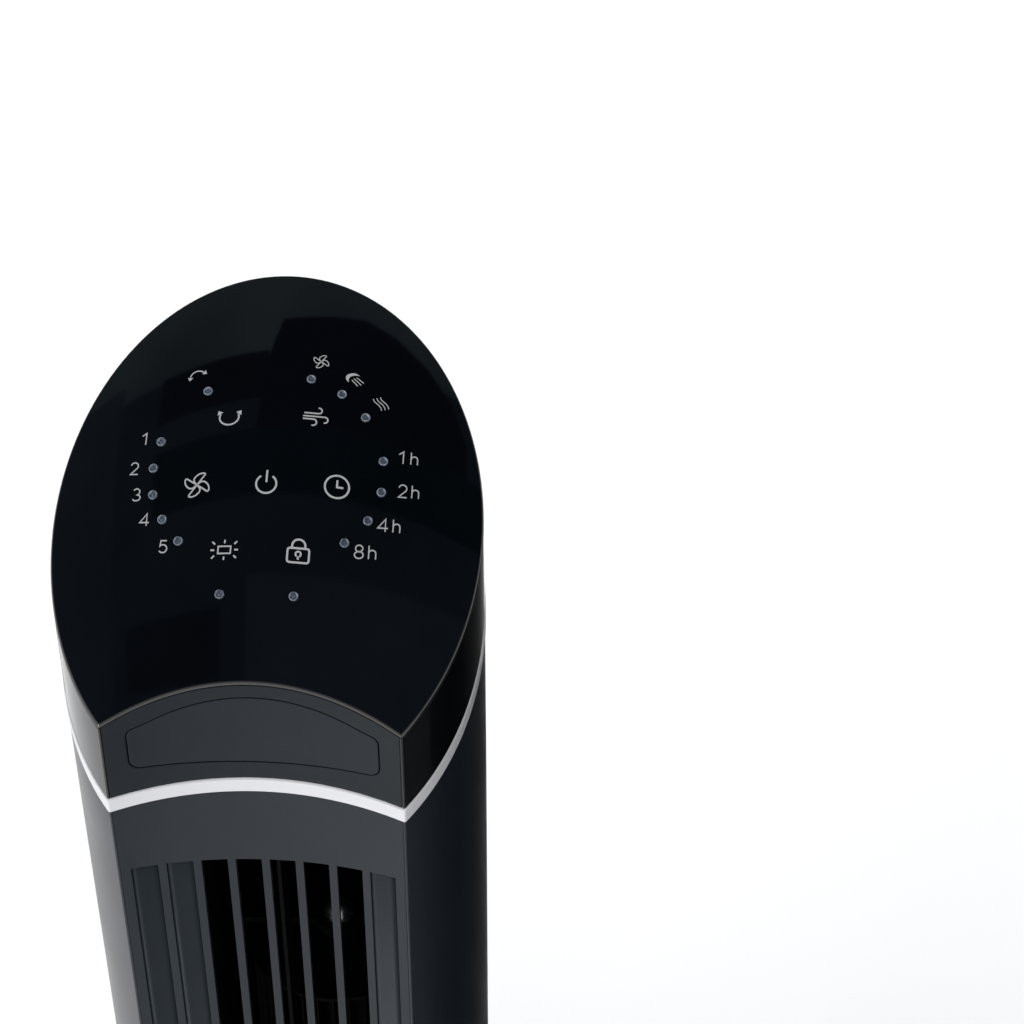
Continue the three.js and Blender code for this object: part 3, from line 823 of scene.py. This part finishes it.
def plate_rim(outline, cz):
    """Points of the plate's rim, each on the ray from the middle through a point of the outline."""
    rim = []
    for x, z in outline:
        for k in range(1, 4000):
            s = 1 + k * 0.002
            q, w = x * s, cz + (z - cz) * s
            q_in = max(-HALF, min(HALF, q))
            y = front_y(q_in)
            if abs(q) >= HALF or w >= cap_low(q_in, y) or w <= head_low(q_in, y):
                rim.append((q_in, w))
                break
    # the four corners of the rim take the nearest ray
    y = front_y(HALF)
    for x in (-HALF, HALF):
        for z in (head_low(x, y), cap_low(x, y)):
            k = min(range(len(rim)), key=lambda i: (rim[i][0] - x) ** 2 + (rim[i][1] - z) ** 2)
            rim[k] = (x, z)
    return rim


def pocket_plate():
    """Head front: cells from the window's pocket to the plate's rim, and the pocket's floor."""
    inner = window_outline(WIN_GAP)
    n = len(inner)
    cz = sum(z for _, z in inner) / n
    pairs = list(zip(inner, plate_rim(inner, cz)))
    plans = []
    for t in (0, 0.12, 0.5, 1.0):
        plans.append([(x0 + (x1 - x0) * t, z0 + (z1 - z0) * t) for (x0, z0), (x1, z1) in pairs])
    shell = [on_front(plan, 0) for plan in plans] + [on_front(plan, PLATE) for plan in reversed(plans)]
    shell += [on_front(scaled(inner, s, cz), PLATE) for s in (0.7, 0.35)]
    pocket = [on_front(scaled(inner, s, cz), POCKET) for s in (0.35, 0.7, 1.0)]
    verts = [p for loop in shell for p in loop] + [(0, front_y(0, PLATE), cz)]
    start = len(verts)
    verts += [p for loop in pocket for p in loop] + [(0, front_y(0, POCKET), cz)]
    faces = [f for j in range(len(shell) - 1) for f in band_of(j * n, (j + 1) * n, n)]
    faces += tip_of((len(shell) - 1) * n, start - 1, n)
    faces += tip_of(start, len(verts) - 1, n)
    for j in range(len(pocket) - 1):
        faces += band_of(start + j * n, start + (j + 1) * n, n)
    faces += band_of(start + (len(pocket) - 1) * n, 0, n)
    return new_object("head_front_visual", verts, faces)


finish_piece(pocket_plate(), HEAD_MATTE, "tower", ["head_front"],
             bevel=0.3, segments=2, angle=50)


# ---------------- trim band
def band_low(x, y):
    """Lower face of the trim band."""
    return tilted(y, BAND_TOP - BAND_H + 0.1)


def band_high(x, y):
    """Upper face of the trim band."""
    return tilted(y, BAND_TOP)


PROUD, DEEP = -0.35, 2.2  # the band's outer and inner faces, as insets
band_loop = [(PROUD, band_low), (PROUD, band_high), (DEEP, band_high), (DEEP, band_low)]
band = wrap_solid("trim_band_visual", band_loop, True)
finish_piece(band, TRIM, "tower", ["trim_band"], bevel=0.5)


# ---------------- column
SLOTS = [(i - 4.5) * SLOT_P for i in range(1, 9)]
OPEN_SLOTS = range(3, 8)  # the other slots have a blank behind them
GRILLE_X = 54.6  # fine cells along the side edges start here
REAR_TURN, REAR_HALF = 0.118, 3.6  # turn from one rear slot to the next, and half a slot's width
REAR_SLOTS = range(-5, 6)
ROW_Z0, ROW_STEP, ROW_H = 118.0, 218.0, 204.0  # rows of rear slots
GRIP_Z0, GRIP_Z1, GRIP_HALF = 783.0, 817.0, 42.0  # opening of the grip


def body_top(x, y):
    """Upper edge of the column's walls, just below the band."""
    return tilted(y, BAND_TOP - BAND_H - 0.5)


def grille():
    """Slotted front of the column."""
    xs = [-HALF, -HALF + 0.9, -GRILLE_X]
    for c in SLOTS:
        xs += [c + SLOT_W / 4 * q for q in (-2, -1, 0, 1, 2)]
    xs += [GRILLE_X, HALF - 0.9, HALF]
    z_lines = [0.0, 0.3, 1.0, 2.0, 2.5, 3.0]  # 0 cup, 1 and 2 the ends of the slots, 3 band

    def height(x, y, v):
        levels = (CUP_Z1 + GAP, SLOT_BOT, SLOT_TOP, body_top(x, y))
        k = min(2, int(v))
        return levels[k] + (levels[k + 1] - levels[k]) * (v - k)

    def surf(d):
        def f(x, v):
            y = front_y(x, d)
            return narrow((x, y, height(x, y, v)))
        return f

    def mask(i, j):
        v, x = (z_lines[j] + z_lines[j + 1]) / 2, (xs[i] + xs[i + 1]) / 2
        return not (1 < v < 2 and any(abs(x - c) < SLOT_W / 2 for c in SLOTS))

    return panel_solid("front_grille_visual", xs, z_lines, mask, surf(0), surf(PLATE))


def sheet(d):
    """Surface of the hollow front at depth d, by x and height."""
    return lambda x, z: narrow((x, front_y(x, d), z))


finish_piece(grille(), MATTE, "tower", ["front_grille"], bevel=0.16, segments=2, angle=50)
for k, c in enumerate(SLOTS, 1):
    if k not in OPEN_SLOTS:
        width = SLOT_W + 1.2
        xs = [c - width / 2 + width * i / 4 for i in range(5)]
        zs = [SLOT_BOT - 0.6, SLOT_TOP + 0.6]
        blank = panel_solid("slot_blank_%d" % k, xs, zs, lambda i, j: True, sheet(0.65), sheet(PLATE - 0.2))
        finish_piece(blank, MATTE, "tower")


def rear_slot(i):
    """Oval angles of the two edges of a rear slot."""
    t = math.pi / 2 - i * REAR_TURN
    c, s = math.cos(t), math.sin(t)
    edges = []
    for shift in (REAR_HALF, -REAR_HALF):
        # a ray from the axis, shifted sideways by half a slot, meets the oval at distance k
        px, py = shift * s, -shift * c
        qa = (c / A) ** 2 + (s / B) ** 2
        qb = 2 * (px * c / A ** 2 + py * s / B ** 2)
        qc = (px / A) ** 2 + (py / B) ** 2 - 1
        k = (-qb + math.sqrt(qb * qb - 4 * qa * qc)) / (2 * qa)
        edges.append(math.atan2((py + k * s) / B, (px + k * c) / A))
    return min(edges), max(edges)


def rear_wall():
    """Sides and back of the column, with rows of slots and the grip's opening."""
    slots = [rear_slot(i) for i in REAR_SLOTS]
    grip = (math.acos(GRIP_HALF / A), math.pi - math.acos(GRIP_HALF / A))
    openings = {"wall": [], "slots": slots, "grip": [grip]}
    edges = [t for pair in slots + [grip] for t in pair]
    t0 = corner_angle(CORNER)
    plain = [t0 + (math.pi - 2 * t0) * k / 96 for k in range(97)]
    ts = sorted([t for t in plain if all(abs(t - e) > 0.012 for e in edges)] + edges)
    rows = [(CUP_Z1 + GAP, "wall")]  # height, and what the cells above it hold
    for r in range(3):
        low = ROW_Z0 + r * ROW_STEP
        rows += [(low, "slots"), (low + ROW_H, "wall")]
    rows += [(GRIP_Z0, "grip"), (GRIP_Z1, "wall"), (None, "wall")]  # None: the tilted upper edge
    n_lip = LIP_POINTS + FAN_POINTS

    def stations(wrap, deep):
        """Plan of one face: lip and corner from the wrap, the oval by angle, corner and lip."""
        out = []
        for t in ts:
            d = 0.0
            if deep:
                near = min(1.0, max(0.0, (min(t, math.pi - t) - t0) / 0.3))
                d = INNER + (WALL - INNER) * near * near * (3 - 2 * near)
            base, grow = max(d, CORNER), max(0.0, CORNER - d)
            t_lo = corner_angle(base)
            x, y, nx, ny = oval(max(t_lo, min(math.pi - t_lo, t)), base)
            out.append((x + nx * grow, y + ny * grow))
        return [behind_lip(x, y) for x, y in wrap[:n_lip] + out + wrap[-n_lip:]]

    def mask(i, j):
        k = i - n_lip
        if not 0 <= k < len(ts) - 1:
            return True
        t = (ts[k] + ts[k + 1]) / 2
        return not any(a < t < b for a, b in openings[rows[j][1]])

    def surf(pts):
        def f(i, j):
            x, y = pts[i]
            z = rows[j][0]
            return narrow((x, y, body_top(x, y) if z is None else z))
        return f

    outer, inner = stations(ring(0.0, "wrap"), False), stations(ring(INNER, "wrap"), True)
    us, vs = range(len(outer)), range(len(rows))
    return panel_solid("rear_housing_visual", us, vs, mask, surf(outer), surf(inner))


finish_piece(rear_wall(), SATIN, "tower", ["rear_housing"], bevel=0.35, segments=2, angle=40)


# ---------------- wheel and its bearing
def wheel():
    """Swept blades between two end discs and through two middle rings."""
    parts = []
    blades, steps, thick = 36, 6, 0.7
    for i in range(blades):
        outer, inner = [], []
        for k in range(steps + 1):
            t = k / steps
            r = 30.4 + 9.0 * t
            sweep = 2 * math.pi * i / blades + 0.20 * math.sin(math.pi * t * 0.62)
            for side, face in ((1, outer), (-1, inner)):
                turn = sweep + side * thick / 2 / r
                face.append((WX + r * math.cos(turn), WY + r * math.sin(turn)))
        loop = outer + inner[::-1]
        m = len(loop)
        v = [(x, y, z) for z in (W_Z0 + 1, W_Z1 - 1) for x, y in loop]
        f = [tuple(range(m))[::-1], tuple(range(m, 2 * m))] + band_of(0, m, m)
        parts.append((v, f))
    discs = ((W_Z0, 2.0, 4.1), (W_Z0 + 200, 1.6, 29), (W_Z0 + 400, 1.6, 29), (W_Z1 - 2, 2.0, 4.1))
    for z, h, bore in discs:
        rim = [(WR - 0.3, z), (WR, z + 0.3), (WR, z + h - 0.3), (WR - 0.3, z + h)]
        parts.append(turned([(bore, z), *rim, (bore, z + h)], 72, WX, WY))
    o = joined("wheel_visual", parts)
    crease(o, 35)
    return o


# the wheel is painted near black to stand in for the shade inside the column
finish_piece(wheel(), WHEEL_PAINTED_SHADE, "wheel", ["wheel"])
CAP_R, CAP_Z, CAP_DOME = 6.6, 739.0, 7.5  # radius, shoulder and dome height of the bearing's cap
cap_profile = [(4.3, 732), (6.3, 732), (CAP_R, 732.3), (CAP_R, CAP_Z)]
for k in range(1, 10):
    a = math.pi / 2 * k / 10
    cap_profile.append((CAP_R * math.cos(a) ** 0.9, CAP_Z + CAP_DOME * math.sin(a)))
cap_profile += [(0.02, CAP_Z + CAP_DOME), (0.02, 740), (4.3, 740)]
bearing = lathe("bearing_cap_visual", cap_profile, 40, WX, WY)
crease(bearing, 35)
finish_piece(bearing, STEEL, "tower", ["bearing_cap"])


# ---------------- base
crown = [(149.9, 3.9), (150.0, 5.6), (149.6, 7.4), (148.4, 10.0), (146.2, 12.4), (142.5, 14.6),
         (136.5, 17.0), (129, 19.3), (118, 21.4), (107, 22.9), (95, 24.0), (78, 25.0), (62, 25.5),
         (47.2, 25.8), (46.2, 25.4), (46, 24.8)]
under = [(46, 22.8), (95, 21.2), (128, 16.8), (143.5, 10.5), (147.4, 4.2)]
cover = lathe("base_cover_visual", under + crown, 160)
gland_bore = placed(turned([(0, 0), (4.35, 0), (4.35, 40), (0, 40)], 32), (0, 130, 11), (0, 1, 0))
carve(cover, [gland_bore])
crease(cover, 30)
finish_piece(cover, SATIN, "base", ["base_cover"])


def cup():
    """Foot cup of the column: outer skirt, rim, inner wall and a floor with the post's bore."""
    outer, inner = ring(0.0), ring(WALL)
    edge, floor_z, bore_r = 0.8, CUP_Z0 + 3.6, 18.0
    sections = ((ring(edge), CUP_Z0), (ring(edge * 0.3), CUP_Z0 + edge * 0.3), (outer, CUP_Z0 + edge),
                (outer, CUP_Z1 - 0.3), (ring(0.3), CUP_Z1), (ring(WALL - 0.2), CUP_Z1),
                (inner, CUP_Z1 - 0.2), (inner, floor_z))
    loops = [[narrow((x, y, z)) for x, y in pts] for pts, z in sections]
    for z in (floor_z, CUP_Z0):
        loops.append([(bore_r * x / math.hypot(x, y), bore_r * y / math.hypot(x, y), z) for x, y in inner])
    n, m = len(outer), len(loops)
    faces = [f for j in range(m) for f in band_of(j * n, (j + 1) % m * n, n)]
    return new_object("column_cup_visual", [p for loop in loops for p in loop], faces)


foot_cup = cup()
carve(foot_cup, [turned([(0, 30), (2.9, 30), (2.9, 45), (0, 45)], 24, PINION_X, 0)])
crease(foot_cup, 30)
finish_piece(foot_cup, SATIN, "tower", ["column_cup"])


# ---------------- screws
def screw(name, node, body, axis, head_r, shank_r, length):
    """Pan-head screw with a cross recess, at the CAD screw's place; axis points out of the head."""
    low, high = (Vector(c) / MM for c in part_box(node))
    out = Vector(axis)
    top = (low + high) / 2 + out * abs((high - low).dot(out)) / 2
    neck, tip = -1.8, -1.8 - length
    profile = [(0, tip), (shank_r * 0.4, tip), (shank_r, tip + 1.2), (shank_r, neck), (head_r, neck),
               (head_r, -1.1), (head_r * 0.94, -0.6), (head_r * 0.75, -0.2), (head_r * 0.45, -0.02), (0, 0)]
    o = joined(name, [placed(turned(profile, 28), top, out)])
    arm, half, deep = head_r * 0.6, 0.42, 1.0
    for a, b in ((arm, half), (half, arm)):
        carve(o, [placed(block(-a, a, -b, b, -deep, 1), top, out)])
    crease(o, 30)
    finish_piece(o, STEEL, body, [node])


for k in range(1, 5):
    screw("rear_screw_visual_%d" % k, "rear_screw_%d" % k, "tower", (0, 1, 0), 3.2, 1.4, 10.1)
for k in range(1, 4):
    screw("base_screw_visual_%d" % k, "base_screw_%d" % k, "base", (0, 0, -1), 3.4, 1.5, 5.4)


# ---------------- camera and backdrop, in m from here on
cam_data = bpy.data.cameras.new("camera")
cam = add("camera", cam_data)
bpy.context.scene.camera = cam
cam_data.sensor_width = 36.0
cam_data.lens = 85.2
cam_data.clip_start, cam_data.clip_end = 0.05, 50.0
place = (0.1381, -0.7581, 1.5069)
right = Vector((0.9985, 0.0551, 0.0)).normalized()
look = Vector((-0.0445, 0.8066, -0.5895)).normalized()
up = right.cross(look).normalized()
roll = math.radians(0.26)
cam_x = right * math.cos(roll) - up * math.sin(roll)
cam_y = right * math.sin(roll) + up * math.cos(roll)
cam.matrix_world = Matrix([(cam_x[k], cam_y[k], -look[k], place[k]) for k in range(3)] + [(0, 0, 0, 1)])

bpy.context.scene.view_settings.view_transform = "Standard"
world = bpy.data.worlds.new("studio")
bpy.context.scene.world = world
world.use_nodes = True
tree = world.node_tree
backdrop = tree.nodes["Background"]
coords = tree.nodes.new("ShaderNodeTexCoord")
axes = tree.nodes.new("ShaderNodeSeparateXYZ")
ramp = tree.nodes.new("ShaderNodeValToRGB")
tree.links.new(coords.outputs["Generated"], axes.inputs["Vector"])
tree.links.new(axes.outputs["Z"], ramp.inputs["Fac"])
tree.links.new(ramp.outputs["Color"], backdrop.inputs["Color"])
low_sky, high_sky = ramp.color_ramp.elements
low_sky.position, low_sky.color = 0.0, (1.0, 1.0, 1.0, 1)
high_sky.position, high_sky.color = 0.7, (0.05, 0.055, 0.065, 1)
for height, level in ((0.12, 1.0), (0.32, 0.62)):
    ramp.color_ramp.elements.new(height).color = (level, level, level, 1)
backdrop.inputs["Strength"].default_value = 1.0


# ---------------- reflection cards, lights, floor
def glow(name, color):
    """Dim emission with a slow, slight unevenness."""
    m = bpy.data.materials.new(name)
    m.use_nodes = True
    nt = m.node_tree
    nt.nodes.clear()
    out = nt.nodes.new("ShaderNodeOutputMaterial")
    emission = nt.nodes.new("ShaderNodeEmission")
    coords = nt.nodes.new("ShaderNodeTexCoord")
    tone = mottled(nt, noise(nt, coords, 1.6, 2), color, 0.2)
    nt.links.new(tone, emission.inputs["Color"])
    nt.links.new(emission.outputs["Emission"], out.inputs["Surface"])
    return m


def card(name, corners, mat):
    """Flat studio card, seen only in reflections."""
    me = bpy.data.meshes.new(name)
    me.from_pydata(corners, [], [tuple(range(len(corners)))])
    o = add(name, me)
    me.materials.append(mat)
    o.visible_camera = o.visible_diffuse = o.visible_shadow = o.visible_transmission = False
    return o


def upright(name, start, end, height, mat):
    """Upright card on the floor, from start to end in plan."""
    return card(name, [(*start, 0.0), (*end, 0.0), (*end, height), (*start, height)], mat)


CEILING_Z = 2.62
CEILING = [  # x0, x1, y0, y1 and radiance; later cards hang below earlier ones
    (-2.6, 2.0, -1.6, 2.0, (0.040, 0.056, 0.066)),
    (-2.6, 1.6, 0.48, 2.0, (0.120, 0.160, 0.175)),
    (-2.6, -1.32, -1.6, 0.6, (0.062, 0.084, 0.100)),
    (-1.0, -0.3, 0.23, 0.50, (0.004, 0.006, 0.008)),
    (-1.0, 1.25, -0.23, 0.08, (0.004, 0.019, 0.014)),
    (-0.33, 1.3, -1.6, -0.56, (0.066, 0.094, 0.120)),
    (-1.2, -0.5, -1.0, -0.69, (0.012, 0.019, 0.018)),
]
for k, (x0, x1, y0, y1, tone) in enumerate(CEILING):
    z = CEILING_Z - 0.002 * k
    corners = [(x0, y0, z), (x1, y0, z), (x1, y1, z), (x0, y1, z)]
    card("ceiling_%d" % k, corners, glow("ceiling_tone_%d" % k, tone))
arch = [(-0.33, 0.08), (0.97, 0.08), (0.95, 0.25), (0.84, 0.42), (0.66, 0.56), (0.44, 0.68), (0.25, 0.74),
        (0.0, 0.72), (-0.24, 0.70), (-0.30, 0.45)]
arch_z = CEILING_Z - 0.017
card("ceiling_arch", [(x, y, arch_z) for x, y in arch], glow("ceiling_tone_arch", (0.002, 0.003, 0.006)))

# a second dark column stands close on the right, seen only in the gloss of this one
dark = material("flag_black", (0.004, 0.005, 0.007), 0.35, mottle=0.1)
sides = 48
turns = [2 * math.pi * k / sides for k in range(sides)]
plan = [(0.205 + 0.085 * math.cos(t), 0.16 + 0.275 * math.sin(t)) for t in turns]
me = bpy.data.meshes.new("dark_column")
me.from_pydata([(x, y, z) for z in (0.03, 0.90) for x, y in plan], [],
               band_of(0, sides, sides) + [tuple(range(sides, 2 * sides))])
column = add("dark_column", me)
me.materials.append(dark)
column.visible_camera = column.visible_shadow = False
upright("dark_right", (0.24, -0.88), (0.42, -0.42), 0.95, dark)
upright("dark_far", (0.12, 0.22), (0.17, 1.5), 0.9, dark)
upright("grey_left", (-0.12, 0.06), (-0.15, 1.5), 0.9, glow("card_grey", (0.235, 0.23, 0.22)))
upright("bright_left", (-0.95, -0.55), (-0.30, -1.15), 0.75, glow("card_white", (1.6, 1.55, 1.48)))

key_data = bpy.data.lights.new("key", "AREA")
key_data.shape, key_data.size, key_data.size_y = "RECTANGLE", 2.0, 1.6
key_data.energy = 55
key = add("key", key_data)
key.location = (-2.0, -2.4, 1.7)
key.rotation_euler = (Vector((0, 0, 0.75)) - key.location).to_track_quat("-Z", "Y").to_euler()
sun_data = bpy.data.lights.new("overhead", "SUN")
sun_data.energy, sun_data.angle = 3.0, math.radians(100)
sun = add("overhead", sun_data)
sun.rotation_euler = (math.radians(12), math.radians(-8), 0)
sun.visible_glossy = False

me = bpy.data.meshes.new("floor")
me.from_pydata([(-20, -20, 0), (20, -20, 0), (20, 20, 0), (-20, 20, 0)], [], [(0, 1, 2, 3)])
floor = add("floor", me)
me.materials.append(material("floor_white", (0.86, 0.86, 0.87), 0.7, specular=0.2))
